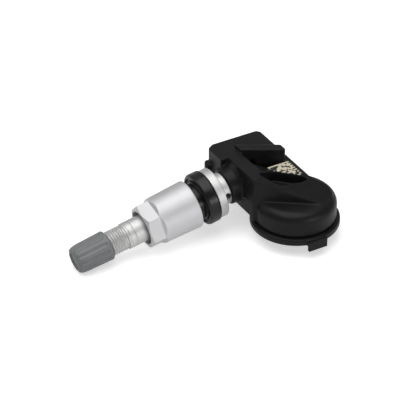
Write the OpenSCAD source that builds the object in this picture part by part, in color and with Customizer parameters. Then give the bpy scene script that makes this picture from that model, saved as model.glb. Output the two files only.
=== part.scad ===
// Clamp-in tyre pressure sensor with an aluminium valve.
// Millimetres. The origin is on the valve axis, where the rubber grommet seats on the wheel rim.
// +Z is up from the sensor's base, the valve points to -X and dips below level by valve_tilt.
// Stations along the valve are measured from the origin, positive towards the cap.

/* [Valve axis] */
// Angle by which the valve dips below the plane of the sensor's base
valve_tilt = 10.1; // [8:0.1:12]
// Height of the valve axis above the base, where the stem meets the sensor
valve_height = 9; // [8.6:0.1:9.4]

/* [Valve cap] */
// Outer diameter of the cap at its open end
cap_d = 9.2; // [9:0.1:9.6]
// Length of the cap
cap_len = 11.2; // [10.6:0.1:12]
// Number of grip ribs round the cap
cap_ribs = 12; // [8:1:16]
// Thickness of the cap's end wall
cap_end = 1.3; // [1:0.1:1.6]
// Diameter of the dish in the cap's end
cap_dish_d = 5.2; // [4:0.1:6]
// Thickness of the rubber disc inside the cap
cap_seal_thick = 0.7; // [0.5:0.1:0.9]
// Running clearance between the cap and the thread of the stem
cap_play = 0.06; // [0.04:0.01:0.09]

/* [Valve stem] */
// Diameter of the tyre valve thread
thread_d = 7.75; // [7.6:0.01:7.8]
// Diameter of the plain stem between the thread and the nut
stem_d = 8.1; // [7.9:0.05:8.4]
// Diameter of the large thread that the nut runs on
nut_thread_d = 9.6; // [9.2:0.1:9.8]
// Station of the stem's outer end
stem_end = 40.1; // [39.6:0.1:40.4]
// Station of the shoulder where the valve thread ends
shoulder = 25.2; // [24.6:0.1:26]
// Station where the large thread ends
nut_thread_end = 16.4; // [15.6:0.1:17]
// How far the clamping flange stands out past the rim hole
flange_out = 2.15; // [1.95:0.05:2.25]
// Thickness of the clamping flange
flange_thick = 2.6; // [2.4:0.1:2.8]
// Diameter of the neck that carries the sensor
neck_d = 9.9; // [9.5:0.1:10.2]
// Length of that neck
neck_len = 2.8; // [2.6:0.1:3]
// Diameter of the air hole through the neck
air_hole_d = 1.5; // [1.2:0.1:1.8]
// Diameter of the air bore along the stem
air_bore_d = 3; // [2.6:0.1:3.2]

/* [Collar nut] */
// Width of the hexagon across its flats
hex_af = 12; // [11.6:0.1:12.4]
// Length of the hexagon
hex_len = 4.4; // [4:0.1:4.8]
// How far the sleeve stands out past the rim hole
sleeve_out = 1.9; // [1.75:0.05:2.05]
// How much narrower the sleeve is next to the hexagon
sleeve_taper = 0.8; // [0.6:0.1:1]
// Length of the sleeve
sleeve_len = 12.1; // [11.6:0.1:12.4]
// Gap left for the rim between the grommet and the nut
rim_gap = 2.2; // [2:0.1:2.5]
// Diameter of the opening in the hexagon
nut_mouth_d = 10.6; // [10.2:0.1:10.8]
// Depth of that opening
nut_mouth_depth = 2; // [1.6:0.1:2.4]
// Width of the captive washer's ring
washer_wide = 0.95; // [0.8:0.05:1.05]
// Thickness of the captive washer
washer_thick = 0.8; // [0.6:0.05:1]
// Running clearance between the nut and the large thread
nut_play = 0.06; // [0.04:0.01:0.09]

/* [Rim grommet] */
// How far the grommet's ring stands out past the rim hole
grommet_out = 2.55; // [2.35:0.05:2.75]
// Thickness of the grommet's ring
grommet_thick = 3.9; // [3.6:0.1:4.2]
// Diameter of the collar that fills the rim hole
rim_hole_d = 11.3; // [11.2:0.05:11.5]
// Length of that collar
grommet_collar = 3.4; // [3.1:0.1:3.7]

/* [Valve core] */
// Diameter of the core's barrel
core_d = 4.6; // [4.4:0.1:4.8]
// Length of the core's barrel
core_len = 7.4; // [7:0.1:8]
// Diameter of the core's pin
core_pin_d = 1; // [0.9:0.05:1.1]
// Distance that the pin can be pressed
core_travel = 1.2; // [1:0.1:1.4]

/* [Retaining nut] */
// Diameter of the stud that carries the sensor
stud_d = 4; // [3.8:0.1:4.2]
// Width of the retaining nut across its flats
stud_nut_af = 6; // [5.8:0.1:6.4]
// Height of the retaining nut
stud_nut_h = 2.2; // [2:0.1:2.4]
// Diameter of the washer under that nut
stud_washer_d = 6.8; // [6.6:0.1:7]
// Thickness of that washer
stud_washer_thick = 0.5; // [0.4:0.1:0.6]

/* [Sensor housing] */
// Depth of the groove under the round end's wall
round_groove = 0.35; // [0.25:0.05:0.4]
// Height where the round end's wall begins to curve in
wall_top = 7; // [6.6:0.1:7.4]
// Height of the round end's level top
round_top = 9.9; // [9.8:0.1:10.2]
// Height of the head
head_top = 17; // [16.8:0.1:17.4]
// Height of the bar across the head
bar_top = 18.2; // [18:0.1:18.6]
// Width of the bar
bar_w = 3.1; // [2.8:0.1:3.4]
// Turn of the bar and of the sloping wall in plan
bar_turn = 30; // [27:1:33]
// Turn of the ridge wall in plan
ridge_turn = 35; // [33:1:37]
// Thickness of the outer walls
wall = 1.3; // [1.1:0.1:1.5]
// How far the head's left wall stands out past the round end
left_out = 0.5; // [0.3:0.1:0.7]
// Distance of the head's right wall from the round end's centre
right_wall = 3; // [2.8:0.1:3.2]
// Distance of the head's far wall from the round end's centre
far_wall = 26.3; // [26:0.1:26.8]
// How far the ear beside the valve stands out from the left wall
ear_out = 2.5; // [2.3:0.1:2.7]
// Width of the band between the left wall and the pocket
band_w = 4.6; // [4.4:0.1:4.8]
// Height of the pocket's floor
pocket_floor = 10.3; // [10.1:0.1:10.6]
// Height of the ledge that carries the code label
label_ledge = 13.8; // [13.6:0.1:14]
// Distance of that ledge's right edge from the round end's centre
ledge_right = 5.6; // [5.4:0.1:5.8]
// Side of the code label
label_side = 7.4; // [7.1:0.05:7.4]
// Radius of the boss round the valve axis
boss_r = 5.6; // [5.4:0.1:5.8]

/* [Base cover] */
// How far the cover's rim stands out past the round end
rim_out = 1.1; // [0.9:0.1:1.3]
// Height of the cover's rim
rim_h = 2.3; // [2.1:0.1:2.5]
// Width of the tab on the rim
tab_w = 6.4; // [6:0.1:7]
// How far the tab stands out from the rim
tab_out = 0.9; // [0.7:0.1:1.2]
// How far the tab hangs below the rim
tab_drop = 1.3; // [1:0.1:1.5]
// Diameter of the pressure inlet
inlet_d = 2; // [1.6:0.1:2.4]

/* [Electronics] */
// Thickness of the circuit board
board_thick = 1; // [0.8:0.1:1.2]
// Diameter of the coin cell
cell_d = 20; // [19.6:0.1:20]
// Room left round the coin cell
cell_room = 0.85; // [0.7:0.05:1]
// Thickness of the coin cell
cell_thick = 3.2; // [3:0.1:3.2]
// Thickness of the battery tabs
tab_thick = 0.2; // [0.15:0.05:0.25]
// Length of the receiving coil
coil_len = 8.4; // [8:0.1:8.6]
// Number of turns in the coil's winding
coil_turns = 14; // [8:1:18]
// Diameter of the aerial wire
aerial_d = 0.8; // [0.6:0.1:1]

/* [Hidden] */
$fn = 64;
e = 0.02;

// Valve: what follows from the sizes above
flange_d = rim_hole_d + 2 * flange_out;
grommet_d = rim_hole_d + 2 * grommet_out;
sleeve_big_d = rim_hole_d + 2 * sleeve_out;
sleeve_small_d = sleeve_big_d - sleeve_taper;
washer_gap = 0.1;
washer_d = rim_hole_d + 2 * (washer_gap + washer_wide);
thread_r = thread_d / 2;
stem_r = stem_d / 2;
nut_thread_r = nut_thread_d / 2;
neck_end = -(grommet_thick + flange_thick + neck_len);
cap_tip = stem_end + cap_seal_thick + cap_end;
cap_rear = cap_tip - cap_len;
nut_start = rim_gap;
sleeve_top = nut_start + sleeve_len;
hex_start = sleeve_top + 0.5;
nut_top = hex_start + hex_len;
washer_seat = nut_start + washer_thick + 0.1;
collar_room = nut_start + grommet_collar + 0.6;
core_top = stem_end - 0.6;
core_foot = core_top - core_len;
air_bore_foot = neck_end + 0.2;
spring_foot = core_foot + 1.2;
pin_collar = spring_foot + core_travel + 1.8;
stud_r = stud_d / 2;
nut_face = neck_end - 7.3;
stud_nut_top = nut_face - stud_washer_thick - stud_nut_h;

// Housing: places in the base frame, whose origin is under the centre of the round end
cavity_r = cell_d / 2 + cell_room;
round_r = cavity_r + wall + round_groove;
rim_r = round_r + rim_out;
left_wall = round_r + left_out;
ear_wall = left_wall + ear_out;
seat_x = left_wall + 3.3;
seat_y = 14.6;
lower_left = left_wall - 0.9;
pocket_left = left_wall - band_w;
corner_y = 2.7;
ear_near = 17.4;
ear_far = 25;
ear_foot = 8.6;
ramp_slope = 21.3;
ramp_turn = ridge_turn + 27;
low_right = ledge_right + 1.6;
strip_slope = 32;
cavity_top = round_top - 1.2;
head_cavity_top = head_top - wall;
head_cavity_near = 19.4;
low_cavity_top = 5.1;
cell_foot = rim_h + 2.7;
board_foot = rim_h + 1.1;
board_top = board_foot + board_thick;
chips_near = cell_d / 2 + 2.4;
sensor_left = wall + 1 - lower_left;
sensor_right = -5.2;
port_x = (sensor_left + sensor_right) / 2;
port_y = 21.5;

function unit(v) = v / norm(v);

// Points of an arc of radius r that rounds the corner b between a and c
function corner(a, b, c, r, n) =
    let (u = unit(a - b), w = unit(c - b), half = acos(u * w) / 2)
    let (centre = b + unit(u + w) * (r / sin(half)), p = b + u * (r / tan(half)), q = b + w * (r / tan(half)))
    let (start = atan2(p.y - centre.y, p.x - centre.x), turn = atan2(q.y - centre.y, q.x - centre.x) - start)
    let (sweep = turn > 180 ? turn - 360 : turn < -180 ? turn + 360 : turn)
    [for (i = [0 : n]) centre + r * [cos(start + sweep * i / n), sin(start + sweep * i / n)]];

// An outline whose corner i is rounded to radii[i]
function rounded(points, radii, n = 4) =
    let (m = len(points))
    [for (i = [0 : m - 1])
        each (radii[i] <= 0 ? [points[i]]
            : corner(points[(i + m - 1) % m], points[i], points[(i + 1) % m], radii[i], n))];

// Direction in plan of the ridge wall and of the bar
ridge_dir = [cos(ridge_turn), -sin(ridge_turn)];
ridge_side = [sin(ridge_turn), cos(ridge_turn)];
ridge_start = [-left_wall, corner_y];
bar_front = [right_wall + 0.4, 10.8];
bar_slope = tan(bar_turn);
bar_left_y = bar_front.y + (bar_front.x + pocket_left) * bar_slope;

// Corners in plan of the well at the retaining nut and of the pocket between the ledge and the ramp
ledge_back = 11;
well = [[-pocket_left, bar_left_y], [-pocket_left, ledge_back],
    [bar_front.x - (ledge_back - bar_front.y) / bar_slope, ledge_back]];
pocket_rim = [[-pocket_left - 1.5, 5.2], [-6.7, 0.9], [-5.2, -0.2], [2.2, 0.1], [5, 0.9]];
ledge_edge = [[3.3, 2.5], [-2.7, 8.5], [-3.3, 8.6]];

// Place of a child made along the valve's axis: its z is the station
module on_valve() {
    rotate([0, -(90 + valve_tilt), 0]) children();
}

// Place of a child made in the base frame
module on_base() {
    translate([-neck_end * cos(valve_tilt) + seat_x, -seat_y, -neck_end * sin(valve_tilt) - valve_height])
        children();
}

// Place of a child made along the valve's axis, seen from the base frame
module valve_in_base() {
    translate([neck_end * cos(valve_tilt) - seat_x, seat_y, neck_end * sin(valve_tilt) + valve_height])
        on_valve() children();
}

// A plain tube between two stations
module tube(r_in, r_out, from, to) {
    difference() {
        translate([0, 0, from]) cylinder(r = r_out, h = to - from);
        translate([0, 0, from - e]) cylinder(r = r_in, h = to - from + 2 * e);
    }
}

module valve_cap() {
    bore_r = thread_r + cap_play;
    flute_r = 1.1;
    rib_deep = 0.32;
    color("dimgray") on_valve() difference() {
        rotate_extrude() polygon([
            [0, cap_rear], [cap_d / 2 - 0.25, cap_rear], [cap_d / 2, cap_rear + 0.25],
            [cap_d / 2 - 0.22, cap_tip - 2.2], [cap_d / 2 - 0.5, cap_tip - 1.1],
            [cap_d / 2 - 1.1, cap_tip - 0.35], [cap_d / 2 - 1.6, cap_tip], [0, cap_tip]]);
        translate([0, 0, cap_rear - e]) cylinder(r = bore_r, h = cap_len - cap_end + e);
        translate([0, 0, cap_tip - 0.5]) cylinder(d = cap_dish_d, h = 1);
        for (i = [0 : cap_ribs - 1])
            rotate([0, 0, (i + 0.5) * 360 / cap_ribs])
                translate([cap_d / 2 + flute_r - rib_deep, 0, cap_rear + 0.9])
                    cylinder(r = flute_r, h = cap_len);
    }
}

module cap_seal() {
    color("black") on_valve() tube(1.2, thread_r - 0.1, stem_end + 0.03, stem_end + cap_seal_thick);
}

module valve_stem() {
    bore_r = air_bore_d / 2;
    core_r = core_d / 2 + 0.12;
    color("silver") on_valve() difference() {
        rotate_extrude() polygon([
            [0, stud_nut_top - 0.8], [stud_r - 0.4, stud_nut_top - 0.8], [stud_r, stud_nut_top - 0.4],
            [stud_r, neck_end], [neck_d / 2, neck_end], [neck_d / 2, -grommet_thick - flange_thick],
            [flange_d / 2 - 0.25, -grommet_thick - flange_thick],
            [flange_d / 2, -grommet_thick - flange_thick + 0.25],
            [flange_d / 2, -grommet_thick - 0.15], [flange_d / 2 - 0.15, -grommet_thick],
            [nut_thread_r - 0.35, -grommet_thick], [nut_thread_r - 0.35, grommet_collar + 0.4],
            [nut_thread_r, grommet_collar + 0.8], [nut_thread_r, nut_thread_end - 0.5],
            [nut_thread_r - 0.5, nut_thread_end], [stem_r, nut_thread_end + 0.3],
            [stem_r, shoulder - 2.6], [stem_r - 0.15, shoulder - 2.5], [stem_r - 0.15, shoulder - 2.3],
            [stem_r, shoulder - 2.2], [stem_r, shoulder - 0.2], [stem_r - 0.2, shoulder],
            [thread_r - 0.35, shoulder], [thread_r - 0.35, shoulder + 0.5], [thread_r, shoulder + 0.9],
            [thread_r, stem_end - 0.5], [thread_r - 0.5, stem_end], [0, stem_end]]);
        translate([0, 0, core_foot - 0.1]) cylinder(r = core_r, h = core_len + 2);
        translate([0, 0, core_foot - 1.1]) cylinder(r1 = bore_r, r2 = core_r, h = 1.02);
        translate([0, 0, air_bore_foot]) cylinder(r = bore_r, h = core_foot - air_bore_foot);
        translate([0, 0, neck_end + 0.45 * neck_len]) rotate([0, 0, -85]) rotate([0, 90, 0])
            cylinder(d = air_hole_d, h = neck_d);
    }
}

module collar_nut() {
    thread_bore = nut_thread_r + nut_play;
    corner_r = hex_af / 2 / cos(30);
    beyond_r = corner_r + 0.2;
    groove_r = hex_af / 2 + 0.35;
    color("gainsboro") on_valve() difference() {
        union() {
            rotate_extrude() polygon([
                [0, nut_start], [sleeve_big_d / 2 - 0.35, nut_start], [sleeve_big_d / 2, nut_start + 0.35],
                [sleeve_big_d / 2 - 0.02, nut_start + 0.8],
                [sleeve_small_d / 2 + 0.05, sleeve_top - 0.9], [sleeve_small_d / 2 - 0.35, sleeve_top - 0.25],
                [groove_r, sleeve_top], [groove_r, hex_start], [0, hex_start]]);
            intersection() {
                translate([0, 0, hex_start]) rotate([0, 0, 16]) cylinder(r = corner_r, h = hex_len, $fn = 6);
                rotate_extrude() polygon([
                    [0, hex_start - e], [corner_r - 0.45, hex_start - e], [beyond_r, hex_start + 0.45],
                    [beyond_r, nut_top - 0.65], [hex_af / 2 - 0.1, nut_top], [0, nut_top]]);
            }
        }
        translate([0, 0, nut_start - 1]) cylinder(r = thread_bore, h = nut_top);
        translate([0, 0, nut_top - nut_mouth_depth]) cylinder(d = nut_mouth_d, h = nut_mouth_depth + 1);
        translate([0, 0, nut_start - 1]) cylinder(r = washer_d / 2 + 0.06, h = 1 + washer_seat - nut_start);
        translate([0, 0, nut_start - 1]) cylinder(r = rim_hole_d / 2 + 0.3, h = 1 + collar_room - nut_start);
    }
}

module nut_washer() {
    color("white") on_valve()
        tube(rim_hole_d / 2 + washer_gap, washer_d / 2, washer_seat - washer_thick, washer_seat);
}

module rim_grommet() {
    color("black") on_valve() difference() {
        rotate_extrude() polygon([
            [nut_thread_r - 0.33, -grommet_thick + 0.01], [grommet_d / 2 - 0.8, -grommet_thick + 0.01],
            [grommet_d / 2 - 0.25, -grommet_thick + 0.25], [grommet_d / 2, -grommet_thick + 0.8],
            [grommet_d / 2, -0.9], [grommet_d / 2 - 0.25, -0.3], [grommet_d / 2 - 0.8, 0],
            [rim_hole_d / 2, 0], [rim_hole_d / 2, grommet_collar - 0.35],
            [rim_hole_d / 2 - 0.35, grommet_collar], [nut_thread_r - 0.33, grommet_collar]]);
        translate([0, 0, -0.55]) rotate_extrude()
            translate([grommet_d / 2 + 0.12, 0]) circle(r = 0.3, $fn = 24);
    }
}

module core_barrel() {
    color("goldenrod") on_valve() difference() {
        union() {
            translate([0, 0, core_foot]) cylinder(r = core_d / 2 - 0.4, h = core_len);
            translate([0, 0, core_foot + 3.2]) cylinder(r = core_d / 2, h = core_len - 3.2);
            translate([0, 0, core_foot]) cylinder(r = core_d / 2, h = 0.8);
        }
        translate([0, 0, core_foot - 1]) cylinder(r = core_pin_d / 2 + 0.06, h = core_len + 2);
        translate([0, 0, spring_foot]) cylinder(r = core_d / 2 - 1, h = core_len - 2.2);
        for (i = [0, 1])
            rotate([0, 0, i * 180]) translate([core_d / 2 - 0.8, -1, core_top - 1]) cube([2, 2, 2]);
    }
}

module core_barrel_seal() {
    color("white") on_valve() tube(core_d / 2 - 0.38, core_d / 2 + 0.1, core_foot + 0.9, core_foot + 3.1);
}

module core_pin() {
    color("gold") on_valve() union() {
        translate([0, 0, core_foot - 1.9]) cylinder(d = core_pin_d, h = core_top - core_foot + 2.1);
        translate([0, 0, pin_collar]) cylinder(r = core_d / 2 - 1.2, h = 0.4);
        translate([0, 0, core_foot - 1.9]) cylinder(r = core_pin_d / 2 + 0.5, h = 0.8);
    }
}

module core_seat_seal() {
    color("black") on_valve()
        tube(core_pin_d / 2 + 0.01, core_pin_d / 2 + 0.75, core_foot - 1.08, core_foot - 0.03);
}

// A spring as a stack of rings that touch a thin side seam
module core_spring() {
    turns = 5;
    wire_r = 0.13;
    pitch = (pin_collar - spring_foot - 2 * wire_r - 0.04) / turns;
    color("lightsteelblue") on_valve() union() {
        for (i = [0 : turns])
            translate([0, 0, spring_foot + wire_r + 0.02 + i * pitch])
                rotate_extrude() translate([core_pin_d / 2 + 0.38, 0]) circle(r = wire_r, $fn = 16);
        translate([core_pin_d / 2 + 0.38, 0, spring_foot + wire_r])
            cylinder(r = 0.09, h = turns * pitch, $fn = 16);
    }
}

module stud_washer() {
    color("gray") on_valve() tube(stud_r + 0.1, stud_washer_d / 2, nut_face - stud_washer_thick, nut_face);
}

module stud_nut() {
    across = stud_nut_af / 2 / cos(30);
    bevel = 0.35;
    color("slategray") on_valve() intersection() {
        difference() {
            translate([0, 0, stud_nut_top]) cylinder(r = across, h = stud_nut_h, $fn = 6);
            translate([0, 0, stud_nut_top - 1]) cylinder(r = stud_r + 0.01, h = stud_nut_h + 2);
        }
        rotate_extrude() polygon([
            [0, stud_nut_top], [across - bevel, stud_nut_top], [across, stud_nut_top + bevel],
            [across, stud_nut_top + stud_nut_h], [0, stud_nut_top + stud_nut_h]]);
    }
}

// Plan of the low body: the round end is added apart
module low_plan() {
    polygon(rounded([
        [-lower_left, 3.4], [-lower_left, far_wall - 0.3], [right_wall, far_wall - 0.3],
        [right_wall + 0.4, 20.4], [low_right, 16.6], [low_right, 3], [0, 1.5]],
        [0, 1.5, 1.5, 0.8, 1, 0, 0]));
}

// Plan of the ledge that carries the code label
module ledge_plan() {
    polygon(rounded([
        [-pocket_left - 1, 3.5], [-pocket_left - 1, 19.5], [right_wall, 19.8], [ledge_right, 16.6],
        [ledge_right, 3], [ledge_edge[0].x, 2.4], [0, 2.4]],
        [0, 0, 0, 1, 0, 0, 0]));
}

// Plan of the head: the left wall, the ear beside the valve, the far wall and the bar's front
module head_plan() {
    polygon(rounded([
        [-left_wall, corner_y], [-left_wall, ear_near], [-ear_wall, ear_near], [-ear_wall, ear_far],
        [-ear_wall + 2.1, far_wall], [right_wall, far_wall], [right_wall, bar_front.y + 1],
        [-pocket_left, bar_left_y + 0.6], [-pocket_left, 5.6]],
        [0, 0, 0.9, 0.9, 1.2, 1.8, 0.4, 0, 0]));
}

// Plan of the ramp that runs from the head down onto the round end
module ramp_plan() {
    foot = ridge_start + 21.5 * ridge_dir;
    inner_start = ridge_start + 1.2 * ridge_dir;
    polygon([
        inner_start, foot, [8.2, -7.6], [9.6, -5.6], [10.1, -3.6], [9.6, -1.9], [8.4, -0.45], [7, 0.7],
        [6.3, 1.5], [ledge_right, 3], ledge_edge[0], pocket_rim[4], pocket_rim[3], pocket_rim[2],
        pocket_rim[1], pocket_rim[0], [-pocket_left, 8], [inner_start.x, 8]]);
}

// The sloping strip that joins the ledge to the band beside the pocket
module strip() {
    difference() {
        translate([0, 0, label_ledge - 1]) linear_extrude(height = head_top - label_ledge + 1)
            polygon([[-pocket_left - 1, ledge_back], pocket_rim[0], ledge_edge[2],
                [ledge_edge[2].x, ledge_back]]);
        translate([-pocket_left, -30, head_top]) rotate([0, strip_slope, 0]) translate([-20, 0, 0])
            cube([60, 80, 40]);
    }
}

// Everything above the sloping plane of the ramp
module above_ramp() {
    translate([ridge_start.x, ridge_start.y, head_top]) rotate([0, ramp_slope, -ramp_turn])
        translate([-20, -40, 0]) cube([80, 80, 40]);
}

module round_end() {
    shoulder_r = round_top - wall_top;
    steps = 8;
    rotate_extrude() polygon(concat(
        [[0, rim_h], [round_r - round_groove, rim_h], [round_r - round_groove, rim_h + round_groove],
            [round_r, rim_h + round_groove + 0.1]],
        [for (i = [0 : steps]) [round_r - shoulder_r * (1 - cos(90 * i / steps)),
            wall_top + shoulder_r * sin(90 * i / steps)]],
        [[0, round_top]]));
}

module boss() {
    intersection() {
        valve_in_base() rotate_extrude() polygon([
            [0, neck_end - 6], [boss_r + 1.4, neck_end - 6], [boss_r + 1.2, neck_end - 4.4],
            [boss_r + 0.3, neck_end - 3], [boss_r, neck_end - 0.3], [boss_r - 0.3, neck_end - 0.01],
            [0, neck_end - 0.01]]);
        translate([-30, 0, rim_h]) cube([30 - pocket_left - 1, 40, head_top - rim_h - 0.3]);
    }
}

// Two slanting ribs on the wall under the boss
module boss_ribs() {
    for (i = [0, 1])
        translate([-left_wall + 0.1, seat_y - 8.6, valve_height + 1.4 - 1.6 * i]) rotate([-30, 0, 0])
            cube([2, 6.2, 0.6]);
}

module bar() {
    back = bar_w / cos(bar_turn);
    translate([0, 0, head_top - 4]) linear_extrude(height = bar_top - head_top + 4)
        polygon(rounded([
            [bar_front.x, bar_front.y], [bar_front.x, bar_front.y + back],
            [-pocket_left - 0.3, bar_left_y + back], [-pocket_left - 0.3, bar_left_y]],
            [0.5, 0.5, 0, 0]));
}

module lug() {
    translate([-ear_wall + 0.2, ear_far - 0.6, ear_foot - 1]) cylinder(r = 1.7, h = 4.6);
}

module ear_lower() {
    translate([0, 0, ear_foot]) linear_extrude(height = head_top - ear_foot) polygon([
        [-ear_wall, ear_near], [-ear_wall, ear_far], [-ear_wall + 2.1, far_wall], [-8, far_wall],
        [-8, ear_near]]);
}

module cavities() {
    near = rim_h - 1;
    right = low_right - wall;
    translate([0, 0, near]) cylinder(r = cavity_r, h = cavity_top - 0.9 - near);
    translate([0, 0, cavity_top - 0.9 - e]) cylinder(r1 = cavity_r, r2 = cavity_r - 1.3, h = 0.9 + e);
    translate([0, 0, near]) linear_extrude(height = low_cavity_top - near) cavity_plan(0);
    translate([-1.2, 8, near]) cube([right + 1.2, chips_near + 3.4 - 8, cavity_top - near]);
    translate([-lower_left + wall, head_cavity_near, near])
        cube([lower_left + right_wall - 2 * wall, far_wall - 0.3 - wall - head_cavity_near,
            head_cavity_top - near]);
}

// Plan of the cavity's opening, drawn in by a gap for the cover's spigot
module cavity_plan(gap) {
    polygon(rounded([
        [-lower_left + wall + gap, 0], [-lower_left + wall + gap, far_wall - 0.3 - wall - gap],
        [right_wall - wall - gap, far_wall - 0.3 - wall - gap], [right_wall - wall - gap, 18.6],
        [low_right - wall - gap, 15.8 - gap], [low_right - wall - gap, 0]],
        [0, 0.8, 0.8, 0, 0.6, 0]));
}

module housing_shell() {
    recess_top = head_top - 2.6;
    color([0.14, 0.14, 0.15]) on_base() difference() {
        union() {
            round_end();
            translate([0, 0, rim_h]) linear_extrude(height = round_top - rim_h) low_plan();
            translate([0, 0, round_top - 2])
                linear_extrude(height = label_ledge - round_top + 2) ledge_plan();
            strip();
            difference() {
                union() {
                    translate([0, 0, rim_h]) linear_extrude(height = head_top - rim_h) intersection() {
                        head_plan();
                        translate([-lower_left, 0]) square([40, 40]);
                    }
                    translate([0, 0, recess_top]) linear_extrude(height = head_top - recess_top) head_plan();
                    translate([0, 0, round_top - 2])
                        linear_extrude(height = head_top - round_top + 2) ramp_plan();
                    translate([-left_wall, corner_y + 1, round_top - 2])
                        cube([1.3, 5, head_top - round_top + 2]);
                    ear_lower();
                    corner_post();
                }
                above_ramp();
            }
            bar();
            lug();
            boss();
            boss_ribs();
        }
        pocket();
        cavities();
        valve_in_base() translate([0, 0, nut_face - 3]) cylinder(r = stud_r + 0.04, h = 40);
        valve_in_base() translate([0, 0, nut_face - 5]) cylinder(r = stud_washer_d / 2 + 0.5, h = 5);
    }
}

// The post under the ridge's high end
module corner_post() {
    translate([0, 0, rim_h]) linear_extrude(height = head_top - rim_h) polygon([
        ridge_start, ridge_start + 3 * ridge_dir, ridge_start + 3 * ridge_dir + 3 * ridge_side,
        ridge_start + [1.5, 3], ridge_start + [0, 1.8]]);
}

// The well at the retaining nut, and the pocket between the ledge and the ramp
module pocket() {
    translate([0, 0, pocket_floor]) linear_extrude(height = 12) polygon(well);
    translate([0, 0, pocket_floor]) linear_extrude(height = 12) polygon(concat(pocket_rim, ledge_edge));
}

module code_label() {
    right = ledge_right - 1.45;
    back = ledge_back - 0.1;
    color("beige") on_base() translate([0, 0, label_ledge]) linear_extrude(height = 0.12)
        polygon([[right - label_side, back], ledge_edge[1] + [0.1, 0.1], ledge_edge[0] + [0, 0.2],
            [right, ledge_edge[0].y + 1], [right, back]]);
}

module base_cover() {
    spigot = 0.9;
    tab_x = -0.8;
    color([0.17, 0.17, 0.18]) on_base() difference() {
        union() {
            rotate_extrude() polygon([
                [0, 0], [rim_r - 0.4, 0], [rim_r, 0.4], [rim_r, rim_h - 0.3], [rim_r - 0.3, rim_h - 0.02],
                [cavity_r - 0.06, rim_h - 0.02], [cavity_r - 0.06, rim_h + spigot], [0, rim_h + spigot]]);
            translate([0, 0, rim_h]) linear_extrude(height = spigot) cavity_plan(0.06);
            translate([tab_x - tab_w / 2, -rim_r - tab_out, -tab_drop])
                cube([tab_w, tab_out + 0.1, rim_h + tab_drop - 0.4]);
            translate([tab_x - tab_w / 2, -rim_r - 0.1, 0.3]) cube([tab_w, 2, rim_h - 0.7]);
        }
        translate([-4, port_y, -1]) cylinder(d = inlet_d, h = 10);
        translate([-4, port_y, rim_h + spigot - 0.45]) cylinder(d = inlet_d + 2.2, h = 2);
    }
}

module inlet_filter() {
    color("white") on_base() translate([-4, port_y, rim_h + 0.46]) cylinder(d = inlet_d + 2, h = 0.3);
}

module circuit_board() {
    color("darkgreen") on_base() difference() {
        union() {
            translate([0, 0, board_foot]) cylinder(r = cavity_r - 0.3, h = board_thick);
            translate([0, 0, board_foot]) linear_extrude(height = board_thick) cavity_plan(0.3);
        }
        translate([port_x, port_y, board_foot - 1]) cylinder(d = 1.2, h = 5);
    }
}

module coin_cell() {
    rim = 0.5;
    color("silver") on_base() rotate_extrude() polygon([
        [0, cell_foot], [cell_d / 2 - 1.2, cell_foot], [cell_d / 2 - 1.2, cell_foot + rim],
        [cell_d / 2 - rim, cell_foot + rim], [cell_d / 2, cell_foot + 2 * rim],
        [cell_d / 2, cell_foot + cell_thick - 0.3], [cell_d / 2 - 0.3, cell_foot + cell_thick],
        [0, cell_foot + cell_thick]]);
}

module battery_tab_top() {
    top = cell_foot + cell_thick;
    color("lightgray") on_base() union() {
        translate([0.5, 0, top]) cube([3, cell_d / 2 + 0.6, tab_thick]);
        translate([0.5, cell_d / 2 + 0.4, board_top + tab_thick]) cube([3, tab_thick, top - board_top]);
        translate([0.5, cell_d / 2 + 0.4, board_top]) cube([3, 1.4, tab_thick]);
    }
}

module battery_tab_bottom() {
    color("lightgray") on_base() union() {
        translate([-4, -4, cell_foot - tab_thick]) cube([3, 8, tab_thick]);
        translate([-4, 4, board_top]) cube([3, tab_thick, cell_foot - board_top]);
        translate([-4, 4, board_top]) cube([3, 2, tab_thick]);
    }
}

module sensor_chip() {
    color("dimgray") on_base() difference() {
        translate([sensor_left, port_y - 1.8, board_top]) cube([sensor_right - sensor_left, 4.6, 1.9]);
        translate([port_x, port_y, board_top + 1]) cylinder(d = 1, h = 3);
    }
}

module radio_chip() {
    color("black") on_base() difference() {
        translate([0.8, chips_near, board_top]) cube([3.5, 3.2, 0.9]);
        translate([1.3, chips_near + 2.6, board_top + 0.8]) cylinder(d = 0.4, h = 1);
    }
}

module coil_core() {
    mid_z = board_top + 1.7;
    color("darkslategray") on_base() translate([-4.4, 22, mid_z]) union() {
        rotate([0, 90, 0]) cylinder(r = 0.9, h = coil_len - 3.4);
        for (x = [-0.5, coil_len - 3.9]) translate([x, -1.5, -1.7]) cube([1, 3, 3.2]);
    }
}

module coil_winding() {
    wire_r = 0.17;
    span = coil_len - 3.4 - 1.1 - 2 * wire_r;
    color("chocolate") on_base() translate([-4.4 + 0.55 + wire_r, 22, board_top + 1.7]) rotate([0, 90, 0])
        difference() {
            union() {
                cylinder(r = 1.15, h = span);
                for (i = [0 : coil_turns - 1])
                    translate([0, 0, i * span / (coil_turns - 1)])
                        rotate_extrude() translate([1.15, 0]) circle(r = wire_r, $fn = 16);
            }
            translate([0, 0, -1]) cylinder(r = 0.92, h = span + 2);
        }
}

module aerial() {
    rise = head_cavity_top - board_top - 4.3;
    across = lower_left + right_wall - 2 * wall - 1.3;
    r = aerial_d / 2;
    color("gold") on_base() translate([-lower_left + wall + 0.5, 24, board_top]) union() {
        cylinder(r = r, h = rise);
        translate([across, 0, 0]) cylinder(r = r, h = rise);
        translate([0, 0, rise]) rotate([0, 90, 0]) cylinder(r = r, h = across);
        for (x = [0, across]) translate([x, 0, rise]) sphere(r = r);
    }
}

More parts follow.
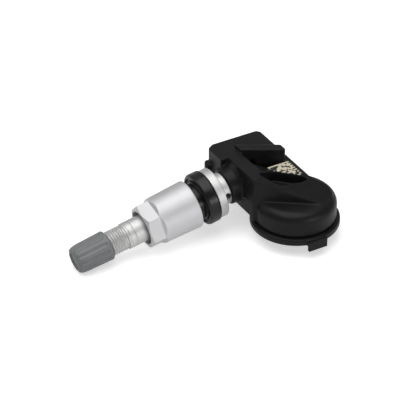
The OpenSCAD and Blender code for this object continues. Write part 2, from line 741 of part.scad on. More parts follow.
module crystal() {
    color("silver") on_base() translate([-0.9, chips_near + 0.2, board_top]) linear_extrude(height = 0.8)
        polygon(rounded([[0, 0], [1.3, 0], [1.3, 2.4], [0, 2.4]], [0.25, 0.25, 0.25, 0.25]));
}

module capacitors() {
    color("tan") on_base() for (i = [0 : 3])
        translate([-7.6 + i * 1.6, chips_near + 0.4, board_top]) cube([0.8, 1.2, 0.5]);
}

valve_cap();
cap_seal();
valve_stem();
collar_nut();
nut_washer();
rim_grommet();
core_barrel();
core_barrel_seal();
core_pin();
core_seat_seal();
core_spring();
stud_washer();
stud_nut();
housing_shell();
code_label();
base_cover();
inlet_filter();
circuit_board();
coin_cell();
battery_tab_top();
battery_tab_bottom();
sensor_chip();
radio_chip();
coil_core();
coil_winding();
aerial();
crystal();
capacitors();
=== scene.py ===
"""Looks of the tyre pressure sensor: a clamp-in aluminium valve on a moulded black housing.

Lengths are in millimetres and become metres when a mesh is made; scales and depths inside a material
are in metres. A station is a distance along the valve's axis from the seat of the grommet, positive
towards the cap. The base frame has its origin under the centre of the housing's round end, with z up
from the base.
"""

import bmesh
import bpy
import numpy as np
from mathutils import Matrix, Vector


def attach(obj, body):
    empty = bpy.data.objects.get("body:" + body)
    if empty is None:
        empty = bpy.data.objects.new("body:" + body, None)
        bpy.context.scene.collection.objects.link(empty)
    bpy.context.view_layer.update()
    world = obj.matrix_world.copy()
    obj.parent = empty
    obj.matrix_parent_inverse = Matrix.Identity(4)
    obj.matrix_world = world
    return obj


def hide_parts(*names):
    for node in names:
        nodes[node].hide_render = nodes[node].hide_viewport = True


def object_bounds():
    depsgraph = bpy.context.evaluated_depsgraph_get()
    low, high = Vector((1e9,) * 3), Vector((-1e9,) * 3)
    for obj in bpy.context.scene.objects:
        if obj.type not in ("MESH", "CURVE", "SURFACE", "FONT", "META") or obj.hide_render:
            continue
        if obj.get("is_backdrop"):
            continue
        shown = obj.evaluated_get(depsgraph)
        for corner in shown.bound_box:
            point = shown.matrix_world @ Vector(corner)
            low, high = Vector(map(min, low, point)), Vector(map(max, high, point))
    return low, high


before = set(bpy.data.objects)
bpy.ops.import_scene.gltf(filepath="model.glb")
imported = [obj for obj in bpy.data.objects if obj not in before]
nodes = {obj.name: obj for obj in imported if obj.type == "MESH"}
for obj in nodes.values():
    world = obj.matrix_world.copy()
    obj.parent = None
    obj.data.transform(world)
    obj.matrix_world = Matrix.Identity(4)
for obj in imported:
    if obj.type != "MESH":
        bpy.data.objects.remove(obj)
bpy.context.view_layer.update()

TURN = 2 * np.pi
VALVE_TILT = np.radians(10.1)
BASE_SHIFT = np.array([25.456, -14.6, -7.369])

# What lies further from the axis is the outer surface of the stem, the cap and the nut
STEM_OUTSIDE, CAP_OUTSIDE, NUT_OUTSIDE = 3.3, 3.96, 5.85

# The stem: its two threads, its neck and the air hole in the neck's side
CAP_THREAD = dict(start=26.1, end=39.7, pitch=0.794, depth=0.36)
NUT_THREAD = dict(start=4.2, end=15.9, pitch=1.0, depth=0.5)
NECK_RADIUS, NECK_START, NECK_END = 4.95, -9.0, -6.7
HOLE_STATION, HOLE_ANGLE, HOLE_RADIUS, HOLE_DEPTH, HOLE_EDGE = -8.04, np.radians(-88), 1.0, 3.3, 0.1
# The share of the colour left inside the air hole: painted shade of the deep hole
HOLE_PAINTED_SHADE = 0.5

# The cap's flutes: how many, how far outside the surface their centres lie, their radius, the station
# where they start and the length over which they deepen
FLUTES, FLUTE_OUT, FLUTE_RADIUS, FLUTE_START, FLUTE_FADE = 12, 0.66, 0.96, 31.6, 0.7

# The nut's hexagon: half its width over the flats, the station where they are whole, their slant before
# it, their turn about the axis, and the stations between which they start
FLAT_MIDDLE, FLAT_START, FLAT_SLANT, FLAT_TURN = 6.2, 14.9, 1.2, np.radians(16)
FLAT_ZONE = (13.3, 15.1)

# The label: its cells, the grid's near left corner and the heights of its two faces in the base frame
CELL, GRID_CORNER, GRID_LAST = 0.58, np.array([-3.97, 2.78, 0]), 12.5
LABEL_LOW, LABEL_HIGH = 13.75, 13.9

# The stage
FLOOR_GREY, FLOOR_GLOW, FLOOR_MIRRORED = 0.72, 0.55, 0.5
FLOOR_GAP, FLOOR_REACH, FLOOR_SIDE, BEND_RADIUS, BACKDROP_HEIGHT = 0.05, 1500, 3000, 500, 2500
PHOTO_AZIMUTH = np.radians(-30)
SKY_LIGHT = 0.22

# The camera: its place and aim, and its focal length in pixels of a picture 400 wide
CAMERA_PLACE, CAMERA_AIM = (-244.99, -426.10, 336.72), (2.55, 2.65, -2.26)
FOCAL_PIXELS, PICTURE_PIXELS, SENSOR_WIDTH = 1994.7, 400, 36


# Places

def on_valve(station, radius, angle):
    """A point at a station, a radius and an angle from straight up: the station along the axis, plus the
    radius times the cosine of the angle upwards, plus the radius times its sine sideways."""
    along = np.array([-np.cos(VALVE_TILT), 0, -np.sin(VALVE_TILT)])
    up = np.array([-np.sin(VALVE_TILT), 0, np.cos(VALVE_TILT)])
    side = np.array([0.0, 1.0, 0.0])
    station, radius, angle = np.broadcast_arrays(station, radius, angle)
    return (station[..., None] * along + (radius * np.cos(angle))[..., None] * up
            + (radius * np.sin(angle))[..., None] * side)


def on_base(points):
    """Points of the base frame, moved to the part's frame."""
    return np.asarray(points, float) + BASE_SHIFT


# Meshes

def make_mesh(name, points, faces, material, smooth=True, sharp=40):
    """A mesh from points in millimetres and faces given by their corners, with doubles merged and
    normals facing out. It is shaded smooth except at edges sharper than an angle in degrees."""
    mesh = bpy.data.meshes.new(name)
    mesh.from_pydata((np.asarray(points) / 1000).tolist(), [], [list(map(int, face)) for face in faces])
    piece = bpy.data.objects.new(name, mesh)
    bpy.context.scene.collection.objects.link(piece)
    work = bmesh.new()
    work.from_mesh(mesh)
    bmesh.ops.remove_doubles(work, verts=work.verts, dist=2e-6)
    bmesh.ops.recalc_face_normals(work, faces=work.faces)
    work.to_mesh(mesh)
    work.free()
    if smooth:
        mesh.polygons.foreach_set("use_smooth", np.ones(len(mesh.polygons), bool))
        mesh.set_sharp_from_angle(angle=np.radians(sharp))
    mesh.materials.append(material)
    return piece


def grid_faces(rows, columns):
    """Corners of the squares of a grid whose columns go round and close."""
    i, j = np.meshgrid(np.arange(rows - 1), np.arange(columns), indexing="ij")
    k, m = i + 1, (j + 1) % columns
    return np.stack([i * columns + j, i * columns + m, k * columns + m, k * columns + j], -1).reshape(-1, 4)


def rounded_profile(points, radii, steps=5):
    """An outline whose corners are swapped for curves: each one runs between the two points at a
    distance of its radius from the corner, as a parabola pulled towards the corner."""
    points = np.asarray(points, float)
    out = []
    for i, (corner, radius) in enumerate(zip(points, radii)):
        if radius <= 0 or i in (0, len(points) - 1):
            out.append(corner)
            continue
        before, after = points[i - 1] - corner, points[i + 1] - corner
        a = corner + before * min(radius / np.linalg.norm(before), 0.48)
        b = corner + after * min(radius / np.linalg.norm(after), 0.48)
        t = np.linspace(0, 1, steps + 1)[:, None]
        out.extend((1 - t) ** 2 * a + 2 * t * (1 - t) * corner + t ** 2 * b)
    return np.array(out)


def dense(profile, *steps):
    """The same profile with extra points, no further apart than each of the steps in turn. A step is a
    length, or a function of station and radius that gives one."""
    for step in steps:
        out = [profile[0]]
        for a, b in zip(profile[:-1], profile[1:]):
            gap = step(*(a + b) / 2) if callable(step) else step
            n = max(int(np.ceil(np.linalg.norm(b - a) / gap)), 1)
            out.extend(a + (b - a) * np.arange(1, n + 1)[:, None] / n)
        profile = np.array(out)
    return profile


def soft_min(a, b, blend):
    """The smaller of two values, with a rounded change from one to the other of width blend."""
    h = np.clip(0.5 + 0.5 * (b - a) / blend, 0, 1)
    return b * (1 - h) + a * h - blend * h * (1 - h)


def turned(name, profile, material, around, sharp, shape=None):
    """A profile of (station, radius) carried round the valve's axis in so many steps. Where ribs, flats
    or a thread change the radius, shape(station, radius, angle) gives it."""
    angle = np.arange(around) * TURN / around
    station, radius, angle = np.broadcast_arrays(profile[:, :1], profile[:, 1:], angle[None, :])
    if shape is not None:
        radius = shape(station, radius, angle)
    points = on_valve(station, radius, angle).reshape(-1, 3)
    return make_mesh(name, points, grid_faces(len(profile), around), material, sharp=sharp)


# Materials

def new_material(name):
    """A material with its tree, its Principled shader and its Object coordinates."""
    material = bpy.data.materials.new(name)
    material.use_nodes = True
    tree = material.node_tree
    where = tree.nodes.new("ShaderNodeTexCoord")
    return material, tree, tree.nodes["Principled BSDF"], where.outputs["Object"]


def add(tree, kind, **settings):
    """A node with its settings: names of sockets take values, other names are the node's own."""
    node = tree.nodes.new(kind)
    for key, value in settings.items():
        if hasattr(node, key):
            setattr(node, key, value)
        else:
            node.inputs[key].default_value = value
    return node


def noise(tree, place, scale, detail=3.0, roughness=0.5):
    """Smooth random values over a place, scale times a metre."""
    node = add(tree, "ShaderNodeTexNoise", Scale=scale, Detail=detail, Roughness=roughness)
    tree.links.new(place, node.inputs["Vector"])
    return node.outputs["Fac"]


def maths(tree, operation, a, b):
    """The result of a sum on two values, each a number or another node's output."""
    node = add(tree, "ShaderNodeMath", operation=operation)
    for socket, value in zip(node.inputs, (a, b)):
        if isinstance(value, (int, float)):
            socket.default_value = value
        else:
            tree.links.new(value, socket)
    return node.outputs["Value"]


def parts_of(tree, vector):
    """The x, y and z of a vector, by name."""
    node = tree.nodes.new("ShaderNodeSeparateXYZ")
    tree.links.new(vector, node.inputs["Vector"])
    return node.outputs


def ramp(tree, value, low, low_colour, high, high_colour):
    """A colour for each value: one up to low, another from high on, and a mix in between."""
    node = tree.nodes.new("ShaderNodeValToRGB")
    stops = ((low, low_colour), (high, high_colour))
    for element, (position, colour) in zip(node.color_ramp.elements, stops):
        element.position = position
        element.color = (*colour, 1)
    tree.links.new(value, node.inputs["Fac"])
    return node.outputs["Color"]


def spread(tree, value, low, high, from_low=0.3, from_high=0.7):
    """A value stretched from one range to another and held inside it."""
    node = add(tree, "ShaderNodeMapRange")
    for key, number in (("From Min", from_low), ("From Max", from_high), ("To Min", low), ("To Max", high)):
        node.inputs[key].default_value = number
    tree.links.new(value, node.inputs["Value"])
    return node.outputs["Result"]


def bump(tree, height, depth, under=None):
    """A surface raised by a height, depth metres for a height of one."""
    node = add(tree, "ShaderNodeBump", Strength=1.0, Distance=depth)
    tree.links.new(height, node.inputs["Height"])
    if under is not None:
        tree.links.new(under, node.inputs["Normal"])
    return node.outputs["Normal"]


def valve_place(tree, place):
    """Coordinates of the valve: x is the distance from its axis and y the station, so that a pattern
    on them runs in rings as a lathe leaves it."""
    turn = add(tree, "ShaderNodeVectorRotate", rotation_type="Y_AXIS", Angle=float(np.pi / 2 + VALVE_TILT))
    tree.links.new(place, turn.inputs["Vector"])
    apart = parts_of(tree, turn.outputs["Vector"])
    across = tree.nodes.new("ShaderNodeCombineXYZ")
    tree.links.new(apart["X"], across.inputs["X"])
    tree.links.new(apart["Y"], across.inputs["Y"])
    length = add(tree, "ShaderNodeVectorMath", operation="LENGTH")
    tree.links.new(across.outputs["Vector"], length.inputs[0])
    both = tree.nodes.new("ShaderNodeCombineXYZ")
    tree.links.new(length.outputs["Value"], both.inputs["X"])
    tree.links.new(apart["Z"], both.inputs["Y"])
    return both.outputs["Vector"]


def aluminium(name, colour, roughness, line_depth, cloud=0.05):
    """Turned aluminium: fine rings of the lathe, soft clouds in the colour and a very fine grain. The
    inside of the air hole, nearer to the axis than the neck's surface, has painted shade: its colour is
    darker."""
    material, tree, shader, place = new_material(name)
    axial = valve_place(tree, place)
    rings = noise(tree, axial, 5200, detail=2, roughness=0.6)
    clouds = noise(tree, place, 160)
    specks = noise(tree, place, 9000, detail=2, roughness=0.7)
    apart = parts_of(tree, axial)
    # Painted shade: the colour inside the air hole is darkened, as a deep hole would be shaded
    in_neck = maths(tree, "MULTIPLY", maths(tree, "LESS_THAN", apart["Y"], NECK_END / 1000),
                    maths(tree, "GREATER_THAN", apart["Y"], NECK_START / 1000))
    under_neck = maths(tree, "LESS_THAN", apart["X"], (NECK_RADIUS - 0.15) / 1000)
    hole_painted_shade = maths(tree, "MULTIPLY", in_neck, under_neck)
    low = tuple(c * (1 - cloud) for c in colour)
    shade = add(tree, "ShaderNodeVectorMath", operation="SCALE")
    tree.links.new(ramp(tree, clouds, 0.3, low, 0.7, colour), shade.inputs[0])
    tree.links.new(spread(tree, hole_painted_shade, 1.0, HOLE_PAINTED_SHADE, 0, 1), shade.inputs["Scale"])
    tree.links.new(shade.outputs["Vector"], shader.inputs["Base Color"])
    tree.links.new(spread(tree, rings, roughness - 0.05, roughness + 0.06), shader.inputs["Roughness"])
    grain = bump(tree, specks, line_depth * 0.4)
    tree.links.new(bump(tree, rings, line_depth, under=grain), shader.inputs["Normal"])
    shader.inputs["Metallic"].default_value = 1.0
    return material


def black_plastic(name, colour, roughness, grain_depth):
    """Glass-filled moulded plastic: a fine even grain, slightly paler flow clouds, dull shine."""
    material, tree, shader, place = new_material(name)
    grain = noise(tree, place, 7000, detail=2, roughness=0.6)
    flow = noise(tree, place, 220, detail=4, roughness=0.6)
    pale = tuple(c * 1.35 for c in colour)
    tree.links.new(ramp(tree, flow, 0.35, colour, 0.7, pale), shader.inputs["Base Color"])
    tree.links.new(spread(tree, flow, roughness - 0.05, roughness + 0.07), shader.inputs["Roughness"])
    waves = bump(tree, flow, 0.00002)
    tree.links.new(bump(tree, grain, grain_depth, under=waves), shader.inputs["Normal"])
    shader.inputs["Specular IOR Level"].default_value = 0.14
    return material


def soft_rubber(name, colour, roughness):
    """Moulded rubber: dull, with a powdery bloom in places and a very fine grain."""
    material, tree, shader, place = new_material(name)
    grain = noise(tree, place, 6000, detail=2, roughness=0.7)
    bloom = noise(tree, place, 420, detail=4, roughness=0.7)
    pale = tuple(c * 1.9 + 0.002 for c in colour)
    tree.links.new(ramp(tree, bloom, 0.45, colour, 0.8, pale), shader.inputs["Base Color"])
    tree.links.new(spread(tree, bloom, roughness - 0.06, roughness + 0.12), shader.inputs["Roughness"])
    tree.links.new(bump(tree, grain, 0.000012), shader.inputs["Normal"])
    shader.inputs["Specular IOR Level"].default_value = 0.32
    return material


def cap_plastic(name, colour, pale):
    """Mid grey moulded plastic with soft streaks of a paler grey and a fine grain."""
    material, tree, shader, place = new_material(name)
    grain = noise(tree, place, 5200, detail=2, roughness=0.6)
    streaks = noise(tree, place, 380, detail=4, roughness=0.6)
    tree.links.new(ramp(tree, streaks, 0.3, colour, 0.7, pale), shader.inputs["Base Color"])
    tree.links.new(spread(tree, streaks, 0.42, 0.55), shader.inputs["Roughness"])
    tree.links.new(bump(tree, grain, 0.000012), shader.inputs["Normal"])
    return material


def plain_metal(name, colour, roughness):
    """A stamped or turned metal with a fine uneven shine."""
    material, tree, shader, place = new_material(name)
    marks = noise(tree, place, 2600, roughness=0.6)
    pale = tuple(min(c * 1.12, 1) for c in colour)
    tree.links.new(ramp(tree, marks, 0.3, colour, 0.7, pale), shader.inputs["Base Color"])
    tree.links.new(spread(tree, marks, roughness - 0.05, roughness + 0.08), shader.inputs["Roughness"])
    tree.links.new(bump(tree, marks, 0.000008), shader.inputs["Normal"])
    shader.inputs["Metallic"].default_value = 1.0
    return material


def plain_solid(name, colour, roughness, scale=2400):
    """A matt moulded or pressed stuff with a slight mottle."""
    material, tree, shader, place = new_material(name)
    mottle = noise(tree, place, scale, roughness=0.6)
    pale = tuple(min(c * 1.2 + 0.003, 1) for c in colour)
    tree.links.new(ramp(tree, mottle, 0.3, colour, 0.7, pale), shader.inputs["Base Color"])
    tree.links.new(spread(tree, mottle, roughness - 0.05, roughness + 0.07), shader.inputs["Roughness"])
    tree.links.new(bump(tree, mottle, 0.00001), shader.inputs["Normal"])
    return material


def code_print(name, black, pale):
    """Matt black with pale cells in a square grid: the far row is all pale, every second cell of the
    right column too, and rather more than half of the rest at random."""
    material, tree, shader, place = new_material(name)
    cell = CELL / 1000
    grid = tree.nodes.new("ShaderNodeMapping")
    grid.inputs["Location"].default_value = [-c / cell for c in on_base(GRID_CORNER) / 1000]
    grid.inputs["Scale"].default_value = (1 / cell, 1 / cell, 0)
    tree.links.new(place, grid.inputs["Vector"])
    whole = add(tree, "ShaderNodeVectorMath", operation="FLOOR")
    tree.links.new(grid.outputs["Vector"], whole.inputs[0])
    chance = add(tree, "ShaderNodeTexWhiteNoise", noise_dimensions="2D")
    tree.links.new(whole.outputs["Vector"], chance.inputs["Vector"])
    apart = parts_of(tree, whole.outputs["Vector"])
    picked = maths(tree, "GREATER_THAN", chance.outputs["Value"], 0.42)
    far_row = maths(tree, "GREATER_THAN", apart["Y"], GRID_LAST)
    right_column = maths(tree, "GREATER_THAN", apart["X"], GRID_LAST)
    second = maths(tree, "GREATER_THAN", maths(tree, "MODULO", apart["Y"], 2), 0.5)
    inside = maths(tree, "MULTIPLY", picked, maths(tree, "SUBTRACT", 1, right_column))
    edge = maths(tree, "MAXIMUM", far_row, maths(tree, "MULTIPLY", right_column, second))
    printed = maths(tree, "MAXIMUM", inside, edge)
    wear = noise(tree, place, 5200, roughness=0.7)
    shade = maths(tree, "MULTIPLY", printed, spread(tree, wear, 0.75, 1.0))
    tree.links.new(ramp(tree, shade, 0.05, black, 0.95, pale), shader.inputs["Base Color"])
    shader.inputs["Roughness"].default_value = 0.6
    return material


STEM = aluminium("stem_aluminium", (0.59, 0.59, 0.585), 0.55, 0.000006)
NUT = aluminium("nut_aluminium", (0.60, 0.60, 0.61), 0.60, 0.000003, 0.03)
BLACK = black_plastic("black_plastic", (0.0075, 0.0075, 0.008), 0.37, 0.000012)
RUBBER = soft_rubber("rubber", (0.002, 0.002, 0.0022), 0.28)
CAP = cap_plastic("grey_plastic", (0.150, 0.154, 0.156), (0.176, 0.180, 0.183))
STEEL = plain_metal("steel", (0.52, 0.53, 0.55), 0.3)
BRASS = plain_metal("brass", (0.62, 0.42, 0.16), 0.3)
COPPER = plain_metal("copper", (0.62, 0.24, 0.10), 0.32)
PTFE = plain_solid("ptfe", (0.72, 0.72, 0.70), 0.5)
FILTER = plain_solid("filter", (0.66, 0.66, 0.62), 0.8, 9000)
BOARD = plain_solid("board", (0.015, 0.10, 0.035), 0.35, 1800)
CHIP = plain_solid("chip", (0.02, 0.02, 0.021), 0.5)
FERRITE = plain_solid("ferrite", (0.05, 0.05, 0.055), 0.6)
CERAMIC = plain_solid("ceramic", (0.40, 0.28, 0.16), 0.5)
PRINT = code_print("label", (0.012, 0.012, 0.013), (0.62, 0.57, 0.44))


# Valve

def thread(station, radius, angle, start, end, pitch, depth):
    """A right-handed thread: the radius sinks by depth in a rounded V that climbs one pitch a turn and
    fades out over half a pitch at both ends. The V is a raised cosine to the power of 0.8."""
    groove = (0.5 + 0.5 * np.cos(TURN * (station / pitch - angle / TURN))) ** 0.8
    fade = np.clip((station - start) / (pitch / 2), 0, 1) * np.clip((end - station) / (pitch / 2), 0, 1)
    return radius - depth * groove * fade


def stem_shape(station, radius, angle):
    """The stem's radius: the cap's thread, the nut's thread, and a pit for the air hole. The pit has its
    whole depth wherever the distance from the hole's middle, measured on the neck as if it were
    unrolled, is under the hole's radius, and none from a little beyond it."""
    outside = radius > STEM_OUTSIDE
    radius = np.where(outside & (station > 26), thread(station, radius, angle, **CAP_THREAD), radius)
    radius = np.where(outside & (station > 4) & (station < 16),
                      thread(station, radius, angle, **NUT_THREAD), radius)
    arc = NECK_RADIUS * ((angle - HOLE_ANGLE + np.pi) % TURN - np.pi)
    far = np.hypot(arc, station - HOLE_STATION)
    pit = np.clip((HOLE_RADIUS + HOLE_EDGE / 2 - far) / HOLE_EDGE, 0, 1)
    return np.where(outside & (station < -6.6), radius - HOLE_DEPTH * pit, radius)


def stem_step(station, radius):
    """The distance between points of the stem's profile: short on the threads and round the hole."""
    if radius > STEM_OUTSIDE and (station > 25.5 or 4 < station < 16):
        return 0.1
    return 0.06 if radius > 4 and -9.1 < station < -6.9 else 0.6


def make_stem():
    """The stem: one turned profile from the stud over the neck, the flange and the two threads to the
    cap's end, and back through the bore."""
    corners = [(-20.1, 0), (-20.1, 1.6), (-19.7, 2.0), (-9.3, 2.0), (-9.3, 4.75), (-9.1, 4.95),
               (-6.5, 4.95), (-6.5, 7.8), (-3.9, 7.8), (-3.9, 4.45), (3.8, 4.45), (4.2, 4.8),
               (15.9, 4.8), (16.4, 4.3), (16.7, 4.05), (22.6, 4.05), (22.7, 3.88), (22.9, 3.88),
               (23.0, 4.05), (24.35, 4.05), (24.45, 3.93), (24.6, 3.93), (24.7, 4.05), (25.2, 4.05),
               (25.2, 3.53), (25.7, 3.53), (26.1, 3.87), (39.5, 3.87), (40.1, 3.3), (40.1, 2.42),
               (32.0, 2.42), (31.0, 1.5), (-9.1, 1.5), (-9.1, 0)]
    radii = [0, 0.2, 0.2, 0.1, 0, 0,
             0.15, 0.25, 0.25, 0.1, 0.2, 0.2,
             0.2, 0.2, 0.1, 0.05, 0.03, 0.03,
             0.05, 0.05, 0.03, 0.03, 0.05, 0.18,
             0.1, 0.1, 0.15, 0.3, 0.2, 0.2,
             0.2, 0.2, 0, 0]
    profile = dense(rounded_profile(corners, radii), 0.6, stem_step)
    return turned("stem", profile, STEM, around=160, sharp=50, shape=stem_shape)


def cap_shape(station, radius, angle):
    """The cap's radius: twelve round flutes, which run over the closed end and fade near the open one. A
    flute is a circle with its centre a fixed way outside the surface. The radius there is the centre's
    distance times the cosine of the angle from the flute, less the root of the circle's radius squared
    minus the square of the centre's distance times the sine."""
    centre = radius + FLUTE_OUT
    turn = angle % (TURN / FLUTES) - TURN / FLUTES / 2
    inside = np.clip(FLUTE_RADIUS ** 2 - (centre * np.sin(turn)) ** 2, 0, None)
    wall = np.where(inside > 0, centre * np.cos(turn) - np.sqrt(inside), 9.0)
    reach = np.clip((station - FLUTE_START) / FLUTE_FADE, 0, 1)
    wall = wall + (1 - reach * reach * (3 - 2 * reach)) * FLUTE_FADE
    on_side = (station > 31.3) & (radius > CAP_OUTSIDE)
    on_end = (station > 41) & (radius > 3.2)
    return np.where(on_side | on_end, soft_min(radius, wall, 0.06), radius)


def make_cap():
    """The cap: a tapering profile with a raised rim on its closed end, and its room for the stem."""
    corners = [(41.6, 0), (41.6, 2.5), (42.08, 2.65), (42.05, 3.25), (41.95, 3.6), (41.3, 4.12),
               (39.8, 4.38), (31.1, 4.6), (30.9, 4.4), (30.9, 3.935), (40.82, 3.935), (40.82, 0)]
    radii = [0, 0.3, 0.15, 0.15, 0.25, 0.4,
             0.8, 0.2, 0.15, 0.1, 0.1, 0]
    profile = dense(rounded_profile(corners, radii, 8), 0.25)
    return turned("cap", profile, CAP, around=240, sharp=35, shape=cap_shape)


def nut_shape(station, radius, angle):
    """The nut's radius: the sleeve's, cut to a hexagon at the end. A flat is a radius that grows as one
    over the cosine of the angle from its middle, and it slants outwards to the sleeve at its start."""
    turn = (angle - FLAT_TURN) % (TURN / 6) - TURN / 12
    middle = FLAT_MIDDLE + FLAT_SLANT * np.clip(FLAT_START - station, 0, None)
    cut = soft_min(radius, middle / np.cos(turn), 0.05)
    return np.where((station > FLAT_ZONE[0]) & (radius > NUT_OUTSIDE), cut, radius)


def nut_step(station, radius):
    """The distance between points of the nut's profile: short where the flats start."""
    return 0.09 if radius > NUT_OUTSIDE and FLAT_ZONE[0] < station < FLAT_ZONE[1] else 0.22


def make_nut():
    """The collar nut: a tapering sleeve whose end is cut to a hexagon, with a mouth, a bore and a wide
    room at the rim."""
    corners = [(2.2, 5.95), (2.2, 7.4), (2.45, 7.55), (13.4, 7.2), (18.55, 7.14), (19.2, 5.9),
               (19.2, 5.3), (17.2, 5.3), (17.2, 4.9), (6.2, 4.9), (6.2, 5.95), (2.2, 5.95)]
    radii = [0, 0.2, 0.4, 0.3, 0.3, 0.12,
             0.2, 0.1, 0.2, 0, 0, 0]
    profile = dense(rounded_profile(corners, radii, 6), 0.22, nut_step)
    return turned("nut", profile, NUT, around=300, sharp=35, shape=nut_shape)


def make_grommet():
    """The rubber grommet: a turned ring with rounded edges, a shallow trough inside its outer lip and the
    collar that fills the rim's hole."""
    corners = [(-3.89, 4.47), (-3.89, 8.0), (-3.5, 8.2), (-0.55, 8.2), (-0.05, 7.7), (-0.05, 7.15),
               (-0.75, 7.0), (-0.75, 6.3), (-0.05, 6.1), (-0.02, 5.65), (3.1, 5.65), (3.4, 5.3),
               (3.4, 4.47), (-3.89, 4.47)]
    radii = [0, 0.5, 0.5, 0.4, 0.4, 0.2,
             0.2, 0.2, 0.2, 0.1, 0.3, 0.2,
             0.1, 0]
    return turned("grommet", dense(rounded_profile(corners, radii, 6), 0.3), RUBBER, around=200, sharp=50)


def make_core_spring():
    """The core's spring: a round wire carried along a helix about the valve's axis. The helix climbs
    evenly with its angle and rests at both ends, so that its end turns lie closed."""
    turns, wire, radius, low, high, rest, sides = 6, 0.12, 0.88, 33.45, 36.15, 0.12, 10
    t = np.linspace(0, 1, 40 * turns)[:, None]
    station = low + (high - low) * np.clip((t - rest) / (1 - 2 * rest), 0, 1)
    round_wire = np.arange(sides) * TURN / sides
    points = on_valve(station + wire * np.sin(round_wire), radius + wire * np.cos(round_wire),
                      TURN * turns * t).reshape(-1, 3)
    faces = grid_faces(len(t), sides).tolist()
    faces += [list(range(sides)), list(range(len(points) - sides, len(points)))]
    return make_mesh("core_wire", points, faces, STEEL)


# Housing

def softened(name, node, cell, passes, material):
    """The solid's own surface with moulded edges: it is built again from cubes of side cell, and every
    point then moves half of the way to the middle of its neighbours, passes times over."""
    mesh = nodes[node].data.copy()
    work = bmesh.new()
    work.from_mesh(mesh)
    bmesh.ops.remove_doubles(work, verts=work.verts, dist=1e-6)
    work.to_mesh(mesh)
    work.free()
    piece = bpy.data.objects.new(name, mesh)
    bpy.context.scene.collection.objects.link(piece)
    cubes = piece.modifiers.new("cubes", "REMESH")
    cubes.mode = "VOXEL"
    cubes.voxel_size = cell / 1000
    ease = piece.modifiers.new("ease", "SMOOTH")
    ease.factor = 0.5
    ease.iterations = passes
    bpy.context.view_layer.update()
    shaped = bpy.data.meshes.new_from_object(piece.evaluated_get(bpy.context.evaluated_depsgraph_get()))
    piece.modifiers.clear()
    piece.data = shaped
    shaped.name = name
    shaped.polygons.foreach_set("use_smooth", np.ones(len(shaped.polygons), bool))
    shaped.materials.clear()
    shaped.materials.append(material)
    return piece


def make_label():
    """The code label: a thin plate over the ledge, cut off slanting along the ledge's front. Its five
    corners in plan are set at two heights and joined round the edge."""
    corners = np.array([(-3.25, 10.9), (-2.6, 8.6), (3.3, 2.7), (4.15, 3.5), (4.15, 10.9)])
    n = len(corners)
    rings = [on_base(np.column_stack([corners, np.full(n, z)])) for z in (LABEL_LOW, LABEL_HIGH)]
    faces = grid_faces(2, n).tolist() + [list(range(n)), list(range(n, 2 * n))]
    return make_mesh("label", np.concatenate(rings), faces, PRINT, smooth=False)


housing = softened("housing", "housing_shell", 0.24, 4, BLACK)
cover = softened("cover", "base_cover", 0.2, 4, BLACK)
label = make_label()
stem = make_stem()
cap = make_cap()
nut = make_nut()
grommet = make_grommet()
spring = make_core_spring()

for piece, body, node, finish in ((housing, "sensor", "housing_shell", "black_plastic"),
                                  (cover, "sensor", "base_cover", "black_plastic"),
                                  (label, "sensor", "code_label", "label"),
                                  (stem, "sensor", "valve_stem", "stem_aluminium"),
                                  (cap, "cap", "valve_cap", "grey_plastic"),
                                  (nut, "nut", "collar_nut", "nut_aluminium"),
                                  (grommet, "sensor", "rim_grommet", "rubber"),
                                  (spring, "sensor", "core_spring", "steel")):
    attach(piece, body)
    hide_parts(node)

# CAD nodes that are shown as they are

finishes = {"cap_seal": RUBBER, "nut_washer": PTFE, "core_barrel": BRASS, "core_barrel_seal": PTFE,
            "core_pin": BRASS, "core_seat_seal": RUBBER, "stud_washer": STEEL, "stud_nut": STEEL,
            "inlet_filter": FILTER, "circuit_board": BOARD, "coin_cell": STEEL,
            "battery_tab_top": STEEL, "battery_tab_bottom": STEEL, "sensor_chip": CHIP, "radio_chip": CHIP,
            "coil_core": FERRITE, "coil_winding": COPPER, "aerial": STEEL, "crystal": STEEL,
            "capacitors": CERAMIC}
for name, finish in finishes.items():
    for slot in nodes[name].material_slots:
        slot.material = finish


# Stage

def white_floor():
    """A pale matt floor that looks white to the camera, shows about half as bright in polished surfaces,
    and keeps the shadow."""
    material, tree, shader, _ = new_material("floor")
    shader.inputs["Roughness"].default_value = 1.0
    shader.inputs["Specular IOR Level"].default_value = 0.0
    shader.inputs["Base Color"].default_value = (FLOOR_GREY, FLOOR_GREY, FLOOR_GREY, 1)
    shader.inputs["Emission Color"].default_value = (1, 1, 1, 1)
    ray = tree.nodes.new("ShaderNodeLightPath").outputs
    seen = maths(tree, "MAXIMUM", ray["Is Camera Ray"], ray["Is Transmission Ray"])
    mirrored = maths(tree, "MULTIPLY", ray["Is Glossy Ray"], FLOOR_MIRRORED)
    glow = maths(tree, "MULTIPLY", maths(tree, "MAXIMUM", seen, mirrored), FLOOR_GLOW)
    tree.links.new(glow, shader.inputs["Emission Strength"])
    return material


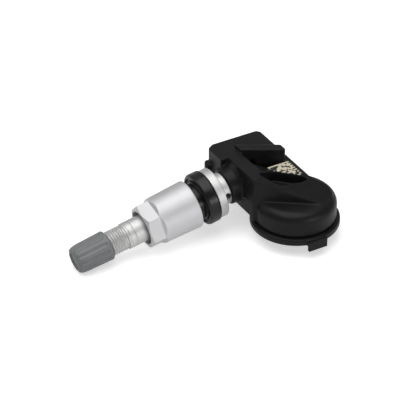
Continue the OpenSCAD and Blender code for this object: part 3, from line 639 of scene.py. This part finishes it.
def make_floor():
    """A wide pale floor that turns up into a backdrop far behind: a line of distance and height, with a
    quarter circle between its two straight runs, carried sideways."""
    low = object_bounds()[0][2] * 1000 - FLOOR_GAP
    bend = np.linspace(0, np.pi / 2, 16)[1:]
    distance = [-FLOOR_REACH, FLOOR_REACH, *(FLOOR_REACH + BEND_RADIUS * np.sin(bend)),
                FLOOR_REACH + BEND_RADIUS]
    height = [low, low, *(low + BEND_RADIUS * (1 - np.cos(bend))), low + BACKDROP_HEIGHT]
    forward = np.array([-np.sin(PHOTO_AZIMUTH), np.cos(PHOTO_AZIMUTH), 0])
    right = np.array([np.cos(PHOTO_AZIMUTH), np.sin(PHOTO_AZIMUTH), 0])
    line = np.outer(distance, forward) + np.outer(height, (0, 0, 1))
    points = np.stack([line - FLOOR_SIDE * right, line + FLOOR_SIDE * right], 1).reshape(-1, 3)
    faces = [[2 * i, 2 * i + 1, 2 * i + 3, 2 * i + 2] for i in range(len(line) - 1)]
    return make_mesh("floor", points, faces, white_floor(), smooth=False)


def area_lamp(name, place, size, power):
    """A soft lamp at a place in millimetres, wide and high by size, turned to the origin."""
    data = bpy.data.lights.new(name, "AREA")
    data.shape = "RECTANGLE"
    data.size, data.size_y = size[0] / 1000, size[1] / 1000
    data.energy = power
    lamp = bpy.data.objects.new(name, data)
    lamp.location = Vector(place) / 1000
    lamp.rotation_euler = (-Vector(place)).to_track_quat("-Z", "Y").to_euler()
    lamp.visible_camera = False
    bpy.context.scene.collection.objects.link(lamp)


make_floor()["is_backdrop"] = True
area_lamp("overhead", (-60, 0, 480), (560, 560), 2.5)
area_lamp("front", (170, -520, 110), (300, 120), 0.80)
area_lamp("back left", (-380, 330, 260), (240, 240), 0.30)

world = bpy.data.worlds.new("studio")
bpy.context.scene.world = world
world.use_nodes = True
background = world.node_tree.nodes["Background"]
background.inputs["Color"].default_value = (1, 1, 1, 1)
background.inputs["Strength"].default_value = SKY_LIGHT

# Camera

camera_data = bpy.data.cameras.new("camera")
camera_data.sensor_width = SENSOR_WIDTH
camera_data.lens = FOCAL_PIXELS / PICTURE_PIXELS * SENSOR_WIDTH
camera_data.clip_end = 20
camera = bpy.data.objects.new("camera", camera_data)
eye, aim = Vector(CAMERA_PLACE) / 1000, Vector(CAMERA_AIM) / 1000
camera.location = eye
camera.rotation_euler = (aim - eye).to_track_quat("-Z", "Y").to_euler()
bpy.context.scene.collection.objects.link(camera)
bpy.context.scene.camera = camera
bpy.context.scene.view_settings.view_transform = "Standard"
